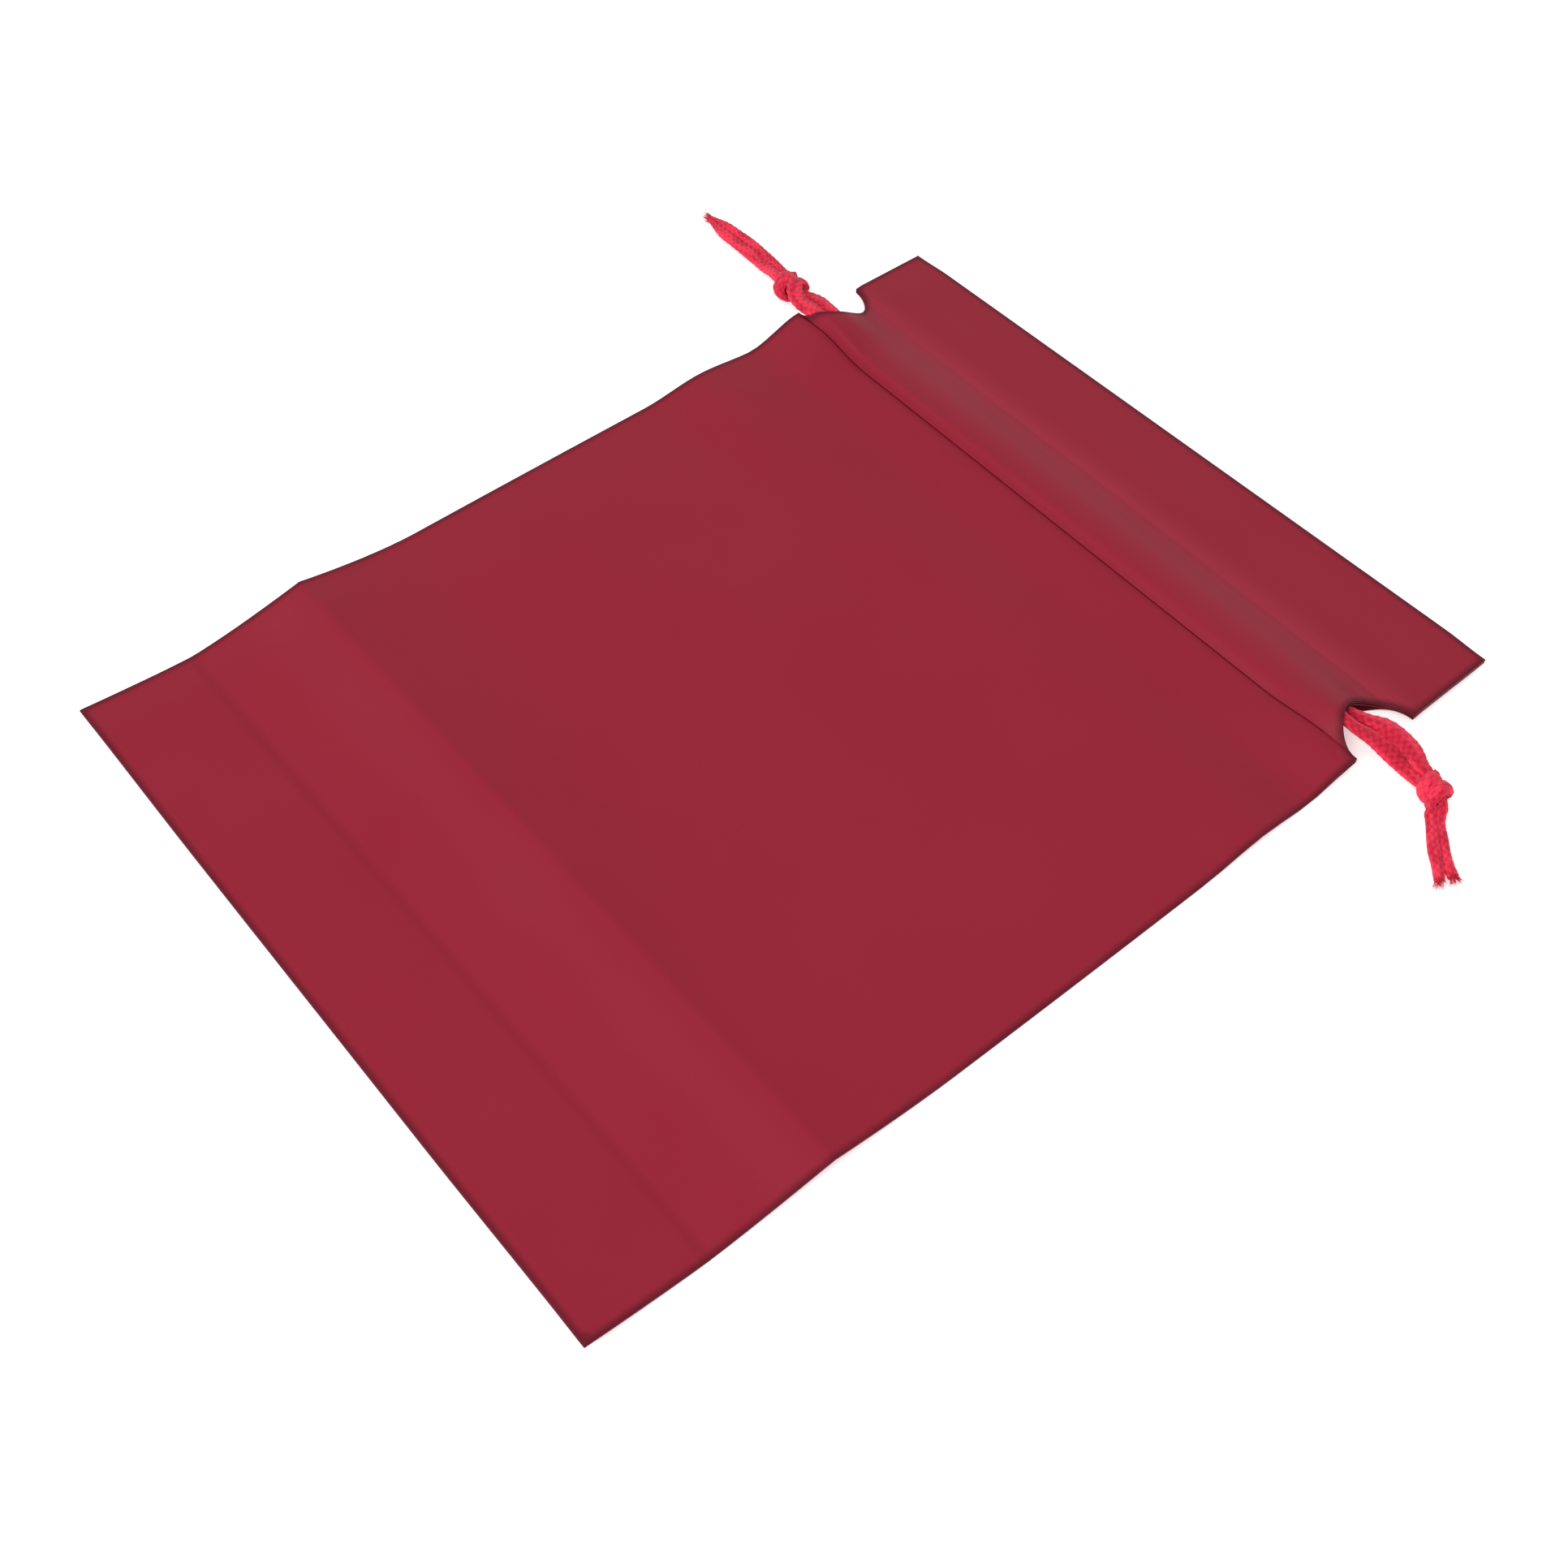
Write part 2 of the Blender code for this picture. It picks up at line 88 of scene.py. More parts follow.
# Waves of the film, each as its distance from the fold, its height or the shape of its slope
VALLEY = 0.0215
RIDGE = 0.045
RIDGE_END = 0.069
RIDGE_LEFT = 0.0035
RIDGE_RIGHT = 0.0022
RIDGE_RISE_POWER = 1.4
RIDGE_FALL_POWER = 1.6
BOTTOM_LIFT_CORNER = 0.0019
BOTTOM_LIFT_MIDDLE = 0.0005
BOTTOM_LIFT_POWER = 1.3
CREST_TO_HEM = 0.025      # a low crest below the lower weld
CREST_SPAN = 0.014
CREST_SIDE = 0.0013
CREST_MIDDLE = 0.0004
HEM_LIFT = 0.0007
HEM_LIFT_FALL = 0.003
HEM_RISE = 0.013
NOTCH_LIFT_LEFT = 0.0028  # the channel's two ends stand higher
NOTCH_LIFT_RIGHT = 0.0019
NOTCH_LIFT_START = 0.020
NOTCH_LIFT_WIDTH = 0.013
NOTCH_LIFT_TOP = 0.003
NOTCH_LIFT_FALL = 0.010
FRILL_LIFT = 0.0013
FRILL_LIFT_START = 0.003
FRILL_LIFT_RUN = 0.006
LIFT_START = 0.45         # share of the half width at which the lift of the sides begins

# Fine relief that only the drawn film has
GROOVE_WIDTH = 0.0007     # half width of the pressed weld lines
GROOVE_DEPTH = 0.5        # share of the gap that the lower one takes away
UPPER_GROOVE = 0.6        # the upper one's depth, as a share of that
CREASE_DEPTH = 0.00012    # sharp crease along the valley, deepest at the left
CREASE_RIGHT = 0.2        # share of its depth that is left at the right
CREASE_WIDTH = 0.0016
WAVE_HEIGHT = 0.00012     # slow unevenness of the front wall
WAVE_SIZE = 0.028
WAVE_SEED = 0.3

# Steps between the drawn film's rows and columns, and the finer bands
SLOPE_STEP = 0.0018       # on the slopes below the ridge
VALLEY_BAND = 0.003
VALLEY_STEP = 0.0005
RIDGE_BAND = 0.004
RIDGE_STEP = 0.0008
WALL_STEP = 0.0022        # from the ridge to the hem
HEM_BAND = 0.004
HEM_STEP = 0.0004
FRILL_STEP = 0.0014
REAR_SLOPE_STEP = 0.0024  # the rear wall and the hems have fewer rows
REAR_WALL_STEP = 0.005
REAR_FRILL_STEP = 0.0025
CHANNEL_ROWS = 44
REAR_CHANNEL_ROWS = 30
TURN_ROWS = 6             # rows round a fold
COLUMN_STEP = 0.002
SIDE_BAND = 0.015         # width of the finer band along each side
# Its columns' distances from that side
SIDE_COLUMNS = (0.0, 0.0004, 0.001, 0.002, 0.0035, 0.0055, 0.008, 0.011)
OUTLINE_POINTS = 240      # points of each stretch of a side from which the rim is measured

# Marks in the film's colour: how wide each is, and its share of the other colour
RIM_WIDTH = 0.0016        # the darker line along the cut and folded edges: the hot-cut edges' own darker tone, with painted shade along the edges and folds
RIM_EDGE_AND_SHADE_TONE = 0.9
WELD_WIDTH = 0.0006       # the lower weld line
WELD_TONE = 0.1
CREASE_SHADE_TONE = 0.22        # painted shade along the valley's crease
PAINTED_SHEEN_OFFSET = 0.0004    # painted sheen: the pale streaks beside the upper weld
PAINTED_SHEEN_WIDTH = 0.0055
PAINTED_SHEEN_TONE = 0.21
PAINTED_SHEEN_GRAIN = (9.0, 900.0, 900.0)      # noise scale along X, Y and Z, so long streaks
PAINTED_SHEEN_DETAIL = 4.0
CLOUD_TONE = 0.12         # soft cloudiness all over
CLOUD_SCALE = 30.0
CLOUD_DETAIL = 3.0
# Painted highlights: pale bands across the film on the ridge, the channel and the frill: distance
# from the fold, half width and share of the haze
PAINTED_HIGHLIGHT_BANDS = ((0.038, 0.008, 0.06), (0.173, 0.0095, 0.23), (0.188, 0.012, 0.04))

# Worked out from the sizes above
HALF = WIDTH / 2
UPPER_WELD = LENGTH - FRILL
LOWER_WELD = UPPER_WELD - CHANNEL
FRONT_CORD = LOWER_WELD + CORD_TO_WELD
REAR_CORD = FRONT_CORD + CORD_SPREAD
NOTCH_END = UPPER_WELD + NOTCH_OVER
CREST = LOWER_WELD - CREST_TO_HEM
TUNNEL = CORD_DIAMETER * CHANNEL_SQUEEZE + 2 * CORD_CLEARANCE
HEM_LAYER = FILM + WELD_GAP
FOLD_RADIUS = (FILM + POCKET_GAP) / 2
MOUTH_RADIUS = (FILM + WELD_GAP) / 2

# The four layers of the sheet, from the floor up
REAR, REAR_HEM, FRONT_HEM, FRONT = range(4)

# Routes of the cords, from the left tail's end to the right tail's end: X, Y and Z in
# millimetres, and the share of the full thickness that the cord keeps there
FRONT_ROUTE = (
    (-115.6, 73.6, 1.1, 0.6), (-110.5, 74.3, 1.15, 0.95), (-105.0, 74.6, 1.15, 1.0),
    (-99.5, 74.4, 1.15, 1.0), (-94.5, 74.0, 1.2, 0.95), (-90.5, 73.5, 1.3, 0.9),
    (-87.6, 73.0, 1.7, 0.8), (-85.4, 72.3, 2.9, 0.68), (-84.9, 70.0, 5.0, 0.68),
    (-84.4, 67.7, 2.9, 0.68), (-83.5, 70.0, 0.8, 0.68), (-82.3, 72.8, 3.0, 0.68),
    (-82.1, 70.5, 5.1, 0.7), (-80.5, 68.8, 4.9, 0.8), (-77.8, 67.8, 4.4, 0.92),
    (-74.0, 67.6, 4.5, 0.9), (-70.5, 67.6, 5.05, 0.74), (-67.5, 67.6, 5.04, 0.72),
    (-64.5, 67.6, 4.65, 0.72), (-61.0, 67.6, 3.7, 0.72), (-58.0, 67.6, 2.9, 0.72),
    (-55.0, 67.6, 2.55, 0.72), (-52.0, 67.6, 2.52, 0.72), (-36.0, 67.6, 2.46, 0.72),
    (36.0, 67.6, 2.42, 0.72), (52.0, 67.6, 2.41, 0.72), (55.0, 67.6, 2.41, 0.72),
    (58.0, 67.6, 2.69, 0.72), (61.0, 67.6, 3.25, 0.72), (64.5, 67.55, 3.93, 0.72),
    (67.5, 67.5, 4.24, 0.72), (70.5, 67.5, 3.95, 0.76), (75.0, 69.1, 2.5, 0.95),
    (80.0, 69.3, 1.4, 0.9), (84.6, 68.3, 1.9, 0.75), (88.4, 67.9, 2.8, 0.68),
    (90.8, 66.7, 2.2, 0.7), (91.9, 65.0, 1.3, 0.75), (94.7, 62.5, 0.95, 0.78),
    (97.2, 60.2, 0.95, 0.8), (99.6, 58.4, 0.95, 0.8), (100.9, 57.7, 1.0, 0.75),
)
REAR_ROUTE = (
    (-114.6, 73.1, 1.05, 0.5), (-109.5, 72.4, 1.15, 0.95), (-104.5, 72.3, 1.15, 1.0),
    (-99.0, 72.2, 1.15, 1.0), (-94.0, 71.8, 1.3, 0.95), (-90.8, 71.2, 2.1, 0.85),
    (-87.8, 70.5, 2.8, 0.7), (-84.7, 70.0, 2.9, 0.68), (-81.6, 70.1, 2.9, 0.68),
    (-78.2, 71.0, 3.1, 0.92), (-74.3, 71.0, 3.7, 0.95), (-70.8, 71.0, 3.85, 0.8),
    (-67.5, 70.65, 3.78, 0.72), (-64.5, 70.6, 3.32, 0.72), (-61.0, 70.6, 2.4, 0.72),
    (-58.0, 70.6, 1.67, 0.72), (-55.0, 70.6, 1.35, 0.72), (-52.0, 70.6, 1.32, 0.72),
    (-36.0, 70.6, 1.32, 0.72), (36.0, 70.6, 1.33, 0.72), (52.0, 70.6, 1.32, 0.72),
    (55.0, 70.6, 1.33, 0.72), (58.0, 70.6, 1.51, 0.72), (61.0, 70.6, 1.88, 0.72),
    (64.5, 70.6, 2.31, 0.72), (67.5, 70.6, 2.52, 0.72), (70.5, 71.05, 2.85, 0.78),
    (75.0, 72.1, 3.3, 1.0), (80.0, 71.7, 3.2, 0.95), (84.1, 70.1, 3.0, 0.8),
    (86.9, 70.0, 2.9, 0.68), (87.0, 68.0, 4.8, 0.68), (87.2, 66.1, 2.8, 0.68),
    (88.2, 67.8, 0.8, 0.68), (89.3, 69.6, 2.8, 0.68), (89.3, 67.6, 4.8, 0.68),
    (89.2, 65.7, 2.8, 0.68), (90.7, 64.6, 1.7, 0.75), (92.6, 62.6, 1.2, 0.82),
    (94.9, 60.1, 1.0, 0.82), (97.6, 57.7, 1.0, 0.82), (99.8, 55.5, 1.0, 0.75),
)
ROUNDING = 1.1            # how roundly a cord turns at the points of its route
MILLIMETRE = 0.001

# The drawn cords are soft and pressed out of round: X in millimetres, then the share of the
# route's thickness across the cord and the share through it
FRONT_SECTIONS = (
    (-115.6, 0.8, 0.8), (-111.0, 1.1, 1.0), (-90.0, 1.15, 1.05), (-86.6, 2.2, 1.25),
    (-84.0, 2.3, 1.2), (-82.0, 2.1, 1.1), (-80.2, 1.9, 1.15), (-77.0, 1.9, 1.15),
    (-73.5, 1.85, 1.1), (-70.8, 1.45, 1.0), (-67.5, 1.3, 1.0), (-62.0, 1.0, 1.0),
    (62.0, 1.0, 1.0), (67.5, 1.5, 1.0), (71.0, 1.5, 1.0), (76.0, 1.75, 1.0),
    (84.0, 1.75, 1.05), (86.5, 1.75, 1.7), (90.0, 1.6, 1.6), (92.0, 1.5, 1.1),
    (94.5, 1.2, 1.1), (101.0, 1.15, 1.1),
)
REAR_SECTIONS = (
    (-114.6, 0.8, 0.8), (-109.0, 1.1, 1.0), (-91.0, 1.15, 1.05), (-87.5, 1.7, 1.7),
    (-81.0, 1.7, 1.7), (-78.5, 1.55, 1.1), (-74.5, 1.8, 1.1), (-70.0, 1.5, 1.1),
    (-67.5, 1.4, 1.0), (-62.0, 1.0, 1.0), (62.0, 1.0, 1.0), (67.5, 1.5, 1.0),
    (71.0, 1.7, 1.1), (80.0, 1.7, 1.15), (84.4, 1.55, 1.15), (86.4, 2.0, 1.15),
    (89.4, 2.0, 1.15), (92.0, 1.35, 1.1), (95.0, 1.25, 1.1), (101.0, 1.15, 1.1),
)
# Middle of each knot and the line that runs through it, for the cord that is wound round it
FRONT_KNOT = ((-0.0840, 0.0702, 0.0029), (1.0, 0.0, 0.0))
REAR_KNOT = ((0.0881, 0.0678, 0.0029), (0.972, -0.236, 0.0))
KNOT_REACH = 0.0043       # a cord this far from the middle of its knot lies flat again
KNOT_BLEND = 0.0013       # distance over which it turns flat
SHORTEST = 1e-9           # keeps a direction of no length from dividing by zero
UPWARD = (0.0, 0.0, 1.0)

# Braid of the cords
RING_STEP = 0.00016       # distance between two drawn rings of a cord
RING_POINTS = 48
STRANDS = 5               # strands that turn each way
BRAID_PITCH = 0.0074      # length over which a strand goes once round
BRAID_DEPTH = 0.2         # depth of the furrows between strands, as a share of the radius
STRAND_HEIGHT = 0.68      # a strand's height halfway between over and under,
STRAND_WEAVE = 0.32       # and how far it rises and dips from there
STREAK_LENGTH = 0.0045    # length of the darker streaks along a cord
STREAK_TURNS = 1.1        # how many of them lie side by side in half a turn
STREAK_NOISE = (0.9, 2.0, 3)            # increment, lacunarity and octaves of the fractal
STREAK_MIDDLE = 0.5
STREAK_CONTRAST = 1.3
FURROW_SHADE_SHARE = 0.55       # share of the deep colour as painted shade in the furrows, in the streaks and as painted shade underneath
STREAK_SHARE = 0.55       # in the streaks
UNDERSIDE_SHADE_SHARE = 0.3     # and underneath
FURROW_SHADE_TOP = 1.2          # how high up a strand the furrow's painted shade reaches the same for the painted shade underneath, in diameters above the cord's middle
UNDERSIDE_SHADE_TOP = 0.2       # the same for the underside, in diameters above the cord's middle
LUMP_SIZE = 0.0035        # length of the soft lumps along a cord
LUMP_HEIGHT = 0.09        # their height, as a share of the radius
LUMP_SEED = 0.5

# Loose fibres at the cut ends
FIBRES = 70
FIBRE_RINGS = 5
FIBRE_SIDES = 3
FIBRE_AREA = 0.8          # share of the cut end that the fibres grow from
FIBRE_ROOT = 0.0004       # how deep a fibre starts inside the cord
FIBRE_LENGTH = (0.0006, 0.0016)
FIBRE_RADIUS = 0.00006
FIBRE_TAPER = 0.5         # share of its thickness that a fibre loses towards its tip
FIBRE_SPREAD = 0.45       # how far the fibres fan out, as a share of their length
FIBRE_DEPTH = 0.45        # share of the deep colour in them

# Camera, from the photograph's perspective
CAMERA_PLACE = (0.17475, -0.14214, 0.26408)
CAMERA_AIM = (0.01533, -0.01338, 0.0)
CAMERA_ROLL = math.radians(-0.815)
CAMERA_NEAR = 0.01
LENS = 45.0
SENSOR = 36.0

# Lights
KEY_PLACE = (0.15, -0.95, 0.85)
KEY_SIZE = 0.8
KEY_POWER = 10.4
SKY_WHITE = (1.0, 1.0, 1.0, 1.0)
SKY_STRENGTH = 0.745

# Colours as linear red, green and blue
WINE = (0.261, 0.0106, 0.0270, 1.0)
# Darker along the pressed weld line, and painted shade along the valley's crease
WINE_WELD_AND_CREASE_SHADE = (0.170, 0.0070, 0.0180, 1.0)
# Pale colour of the random cloudiness, the painted highlight bands and the painted sheen streaks
WINE_HAZE_AND_HIGHLIGHT = (0.330, 0.0540, 0.0800, 1.0)
# Edge colour: the hot-cut edges' own darker tone, and painted shade at the edges and folds
WINE_EDGE_AND_SHADE = (0.100, 0.0050, 0.0130, 1.0)
CRIMSON = (0.880, 0.0360, 0.0860, 1.0)
# Deep colour: painted shade in the cord's furrows and underneath, and its darker streaks
CRIMSON_SHADE_AND_MOTTLE = (0.420, 0.0040, 0.0240, 1.0)
FLOOR_WHITE = (0.90, 0.90, 0.90, 1.0)
SHEEN_TINT = (1.0, 0.45, 0.55, 1.0)

# Surfaces
FILM_ROUGHNESS = 0.45
FILM_SPECULAR = 0.12
FILM_GRAIN_SCALE = 5000.0
FILM_GRAIN_DETAIL = 2.0
FILM_GRAIN_DEPTH = 0.00001
FILM_GRAIN_STRENGTH = 0.5
CORD_ROUGHNESS = 0.85
CORD_SPECULAR = 0.25
CORD_SHEEN = 0.25
SHEEN_ROUGHNESS = 0.5
YARN_SCALE = 3500.0       # fine uneven colour of the yarn
YARN_DETAIL = 3.0
YARN_MIDDLE = 0.5         # the noise's value that leaves the colour as it is
YARN_CONTRAST = 0.8
FUZZ_SCALE = 9000.0       # its rough surface
FUZZ_DETAIL = 3.0
FUZZ_DEPTH = 0.00004
FUZZ_STRENGTH = 0.8
FLOOR_ROUGHNESS = 0.9
FLOOR_GLOW = 0.45         # the floor is a softly lit white table
FLOOR_REACH = 3.0
FLOOR_DROP = 0.00002      # room between the film and the floor


def ease(share):
    """A smooth step from 0 to 1."""
    share = np.clip(share, 0.0, 1.0)
    return share * share * (3 - 2 * share)


def bump(value, centre, span):
    """A smooth hump, 1 at its centre and 0 at span and beyond."""
    return ease(1 - np.abs(value - centre) / span)


def mix(first, second, share):
    """The value at a share of the way from the first to the second."""
    return first + (second - first) * share


def relief(x, along):
    """Height of the sheet's underside: its waves, its lifted corners and the raised frill."""
    left = (1 - x / HALF) / 2
    side = ease((np.abs(x) / HALF - LIFT_START) / (1 - LIFT_START))
    lift = mix(BOTTOM_LIFT_MIDDLE, BOTTOM_LIFT_CORNER, side)
    height = lift * np.clip(1 - along / VALLEY, 0, 1) ** BOTTOM_LIFT_POWER
    rise = np.clip((along - VALLEY) / (RIDGE - VALLEY), 0, 1) ** RIDGE_RISE_POWER
    fall = np.clip(1 - (along - RIDGE) / (RIDGE_END - RIDGE), 0, 1) ** RIDGE_FALL_POWER
    height += mix(RIDGE_RIGHT, RIDGE_LEFT, left) * rise * fall
    height += mix(CREST_MIDDLE, CREST_SIDE, side) * bump(along, CREST, CREST_SPAN)
    past = along - LOWER_WELD
    hem = HEM_LIFT * ease(1 - past / HEM_LIFT_FALL)
    notch = mix(NOTCH_LIFT_RIGHT, NOTCH_LIFT_LEFT, left)
    notch *= ease(1 - (past - NOTCH_LIFT_TOP) / NOTCH_LIFT_FALL)
    near_side = ease((np.abs(x) - HALF + NOTCH_LIFT_START) / NOTCH_LIFT_WIDTH)
    height += mix(hem, notch, near_side) * ease(1 + past / HEM_RISE)
    return height + FRILL_LIFT * ease((along - UPPER_WELD + FRILL_LIFT_START) / FRILL_LIFT_RUN)


def half_width(along):
    """Distance from the middle to the side, with the side's swell and the notch."""
    share = np.clip(2 * (along - LOWER_WELD) / (NOTCH_END - LOWER_WELD) - 1, -1, 1)
    swell = SIDE_BOW * np.sin(np.pi * along / LENGTH)
    return HALF + swell - NOTCH_DEPTH * np.sqrt(1 - share * share)


def skew(x, along):
    """How far the channel's slant moves a point towards the mouth."""
    below = ease(1 - (LOWER_WELD - along) / SKEW_RUN)
    above = ease((LENGTH - along) / (LENGTH - NOTCH_END))
    return -CHANNEL_SKEW * x / WIDTH * below * above


def tunnel_height(x, along, over_front, over_rear):
    """Height of a channel that is this high over the front cord and over the rear cord."""
    slant = skew(x, along)
    place = along + slant
    lower = np.clip((FRONT_CORD - place) / (FRONT_CORD - LOWER_WELD - slant), 0, 1)
    upper = np.clip((place - REAR_CORD) / (UPPER_WELD + slant - REAR_CORD), 0, 1)
    between = mix(over_front, over_rear, ease((place - FRONT_CORD) / CORD_SPREAD))
    lower_flank = 1 - (1 - lower ** STEEP_FLANK) ** FLANK_FOOT
    return mix(mix(between, WELD_GAP, lower_flank), WELD_GAP, upper ** GENTLE_FLANK)


def layer_heights(x, along, from_side):
    """Heights of the middles of the four layers over the underside, stacked in order."""
    in_notch = ease((along - LOWER_WELD) / NOTCH_EASE) * ease((NOTCH_END - along) / NOTCH_EASE)
    apart = np.maximum(ease((from_side - SEAM_WIDTH) / SIDE_EASE), in_notch)
    gap = mix(SEAM_GAP, POCKET_GAP, apart)
    pressed = np.exp(-((along - LOWER_WELD) / GROOVE_WIDTH) ** 2)
    pressed += UPPER_GROOVE * np.exp(-((along - UPPER_WELD) / GROOVE_WIDTH) ** 2)
    wall_gap = gap * (1 - GROOVE_DEPTH * pressed)
    below = along < LOWER_WELD - HEM_OVERHANG
    hem_room = 2 * HEM_LAYER * ease(1 - (LOWER_WELD - along) / HEM_EASE)
    rear = np.full(x.shape, FILM / 2)
    rear_hem = rear + FILM + tunnel_height(x, along, SLACK_HEIGHT, TUNNEL)
    front_hem = rear_hem + FILM + wall_gap
    front = front_hem + FILM + tunnel_height(x, along, TUNNEL, SLACK_HEIGHT)
    plain_front = rear + FILM + wall_gap + hem_room
    return np.stack([rear, rear_hem, front_hem, np.where(below, plain_front, front)])


def front_unevenness(x, along, from_side):
    """The valley's sharp crease and the slow waves of the front wall."""
    left = (1 - x / HALF) / 2
    crease = CREASE_DEPTH * mix(CREASE_RIGHT, 1.0, left)
    crease *= np.exp(-np.abs(along - VALLEY) / CREASE_WIDTH)
    waves = np.empty(x.shape)
    for place in np.ndindex(x.shape):
        waves[place] = noise.noise((x[place] / WAVE_SIZE, along[place] / WAVE_SIZE, WAVE_SEED))
    held = ease(from_side / SIDE_EASE) * ease((LOWER_WELD - along) / HEM_EASE)
    return held * (WAVE_HEIGHT * waves - crease)


def spread(start, end, step):
    """Evenly spaced values from start on, without the end, about one step apart."""
    count = max(round(abs(end - start) / step), 1)
    return [mix(start, end, part / count) for part in range(count)]


def channel_rows(count):
    """Rows across the channel, closest together at both ends of the notch."""
    middle, half = (NOTCH_END + LOWER_WELD) / 2, (NOTCH_END - LOWER_WELD) / 2
    return [middle - half * math.cos(math.pi * part / count) for part in range(count)]


def front_rows():
    """Distances from the fold at which the front wall is drawn, from the bottom up."""
    lines = spread(FOLD_RADIUS, VALLEY - VALLEY_BAND, SLOPE_STEP)
    lines += spread(VALLEY - VALLEY_BAND, VALLEY + VALLEY_BAND, VALLEY_STEP)
    lines += spread(VALLEY + VALLEY_BAND, RIDGE - RIDGE_BAND, SLOPE_STEP)
    lines += spread(RIDGE - RIDGE_BAND, RIDGE + RIDGE_BAND, RIDGE_STEP)
    lines += spread(RIDGE + RIDGE_BAND, LOWER_WELD - HEM_BAND, WALL_STEP)
    lines += spread(LOWER_WELD - HEM_BAND, LOWER_WELD, HEM_STEP)
    lines += channel_rows(CHANNEL_ROWS)
    lines += spread(NOTCH_END, LENGTH - MOUTH_RADIUS, FRILL_STEP)
    return lines


def rear_rows():
    """The same for the rear wall, which is drawn more coarsely."""
    lines = spread(FOLD_RADIUS, RIDGE_END, REAR_SLOPE_STEP)
    lines += spread(RIDGE_END, LOWER_WELD, REAR_WALL_STEP)
    lines += channel_rows(REAR_CHANNEL_ROWS)
    lines += spread(NOTCH_END, LENGTH - MOUTH_RADIUS, REAR_FRILL_STEP)
    return lines


def hem_rows():
    """The same for a hem, from its cut edge up."""
    lines = [LOWER_WELD - HEM_OVERHANG]
    lines += channel_rows(REAR_CHANNEL_ROWS)
    lines += spread(NOTCH_END, LENGTH - MOUTH_RADIUS, REAR_FRILL_STEP)
    return lines


def sheet_rows():
    """The flat sheet's rows in order: (layer, next layer, angle round a fold, along)."""
    turns = [math.pi * part / TURN_ROWS for part in range(TURN_ROWS + 1)]
    mouth, fold = LENGTH - MOUTH_RADIUS, FOLD_RADIUS
    rows = [(REAR_HEM, REAR_HEM, 0.0, along) for along in hem_rows()]
    rows += [(REAR_HEM, REAR, turn, mouth) for turn in turns]
    rows += [(REAR, REAR, 0.0, along) for along in reversed(rear_rows()[1:])]
    rows += [(REAR, FRONT, turn, fold) for turn in turns]
    rows += [(FRONT, FRONT, 0.0, along) for along in front_rows()[1:]]
    rows += [(FRONT, FRONT_HEM, turn, mouth) for turn in turns]
    rows += [(FRONT_HEM, FRONT_HEM, 0.0, along) for along in reversed(hem_rows())]
    return rows


def sheet_columns():
    """Each column as (side, distance from that side's edge), or as (0, X) in the middle."""
    left = [(-1, distance) for distance in SIDE_COLUMNS]
    right = [(1, distance) for distance in reversed(SIDE_COLUMNS)]
    inner = HALF - SIDE_BAND
    middle = spread(-inner, inner, COLUMN_STEP) + [inner]
    return left + [(0, x) for x in middle] + right


def sheet_grid():
    """World points of the sheet's middle surface, with their distance from the fold."""
    rows, columns = sheet_rows(), sheet_columns()
    along = np.array([row[3] for row in rows])[:, None] + np.zeros(len(columns))
    side = np.array([column[0] for column in columns])[None, :]
    value = np.array([column[1] for column in columns])[None, :]
    inner = HALF - SIDE_BAND
    edge = half_width(along)
    x = np.where(side == 0, value, side * (inner + (edge - inner) * (1 - value / SIDE_BAND)))
    from_side = np.where(side == 0, edge - np.abs(value), value + np.zeros(along.shape))
    heights = layer_heights(x, along, from_side)
    heights[FRONT] += front_unevenness(x, along, from_side)
    first = np.array([row[0] for row in rows])
    second = np.array([row[1] for row in rows])
    turn = np.array([row[2] for row in rows])[:, None]
    index = np.arange(len(rows))
    z = mix(heights[first, index], heights[second, index], (1 - np.cos(turn)) / 2)
    z += relief(x, along)
    radius = np.where(along > LENGTH / 2, MOUTH_RADIUS, -FOLD_RADIUS)
    reach = along + radius * np.sin(turn)
    y = reach + skew(x, along) - LENGTH / 2
    return np.stack([x, y, z], axis=-1), reach


def rim_distance(points, reach):
    """Distance of each point of the film to the nearest cut or folded edge, seen from above."""
    share = (1 - np.cos(np.linspace(0, np.pi, OUTLINE_POINTS))) / 2
    lines = (mix(0, LOWER_WELD, share), mix(LOWER_WELD, NOTCH_END, share),
             mix(NOTCH_END, LENGTH, share))
    along = np.concatenate(lines)
    across = half_width(along)
    nearest = np.minimum(reach, LENGTH - reach)
    for side in (-1, 1):
        edge_x = side * across
        edge_y = along + skew(edge_x, along) - LENGTH / 2
        for row in range(len(points)):
            away = np.hypot(points[row, :, 0, None] - edge_x, points[row, :, 1, None] - edge_y)
            nearest[row] = np.minimum(nearest[row], away.min(axis=1))
    return np.maximum(nearest, 0)


def grid_faces(rows, columns):
    """Faces of a grid of points that are numbered row by row."""
    firsts = [i * columns + j for i in range(rows - 1) for j in range(columns - 1)]
    return [(first, first + 1, first + columns + 1, first + columns) for first in firsts]


def add_object(name, points, faces, material):
    """A smoothly shaded mesh of one material."""
    mesh = bpy.data.meshes.new(name)
    mesh.from_pydata(points.reshape(-1, 3).tolist(), [], faces)
    mesh.materials.append(material)
    mesh.shade_smooth()
    item = bpy.data.objects.new(name, mesh)
    bpy.context.collection.objects.link(item)
    return item


def store(item, name, values):
    """Keeps one number for each point of a mesh, for its material to read."""
    layer = item.data.attributes.new(name, "FLOAT", "POINT")
    layer.data.foreach_set("value", np.asarray(values, dtype=np.float32).ravel())


